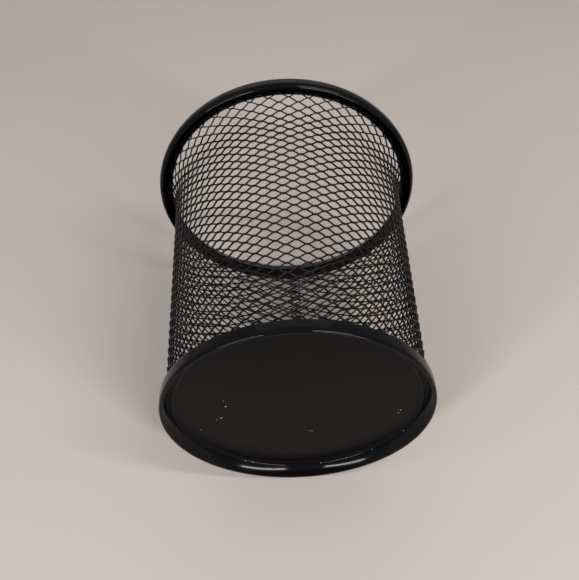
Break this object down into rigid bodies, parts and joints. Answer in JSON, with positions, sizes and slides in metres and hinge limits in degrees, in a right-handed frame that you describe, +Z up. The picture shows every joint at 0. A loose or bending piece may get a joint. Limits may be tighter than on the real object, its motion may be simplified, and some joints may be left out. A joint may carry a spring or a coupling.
{
  "type": "mesh pen cup",
  "caption": "Round desk cup for pens: expanded steel mesh wall, flared to a rolled rim bead, on a folded base bead with a recessed pressed base plate.",
  "frame": {"origin": "centre of the ring that the cup stands on, in the plane of the table", "axes": "+Z up along the cup's axis, from the base plate to the open mouth; +Y towards the mesh's lap seam"},
  "size_m": [0.0928, 0.0928, 0.1],
  "materials": {
    "bead_coat": "gloss black powder coat over rolled sheet steel",
    "mesh_coat": "gloss black powder coat over expanded sheet steel",
    "plate_coat": "satin black powder coat over pressed sheet steel"
  },
  "bodies": {
    "root": {"rim_ring": "bead_coat", "mesh_wall": "mesh_coat", "base_ring": "bead_coat", "base_plate": "plate_coat"}
  },
  "joints": []
}
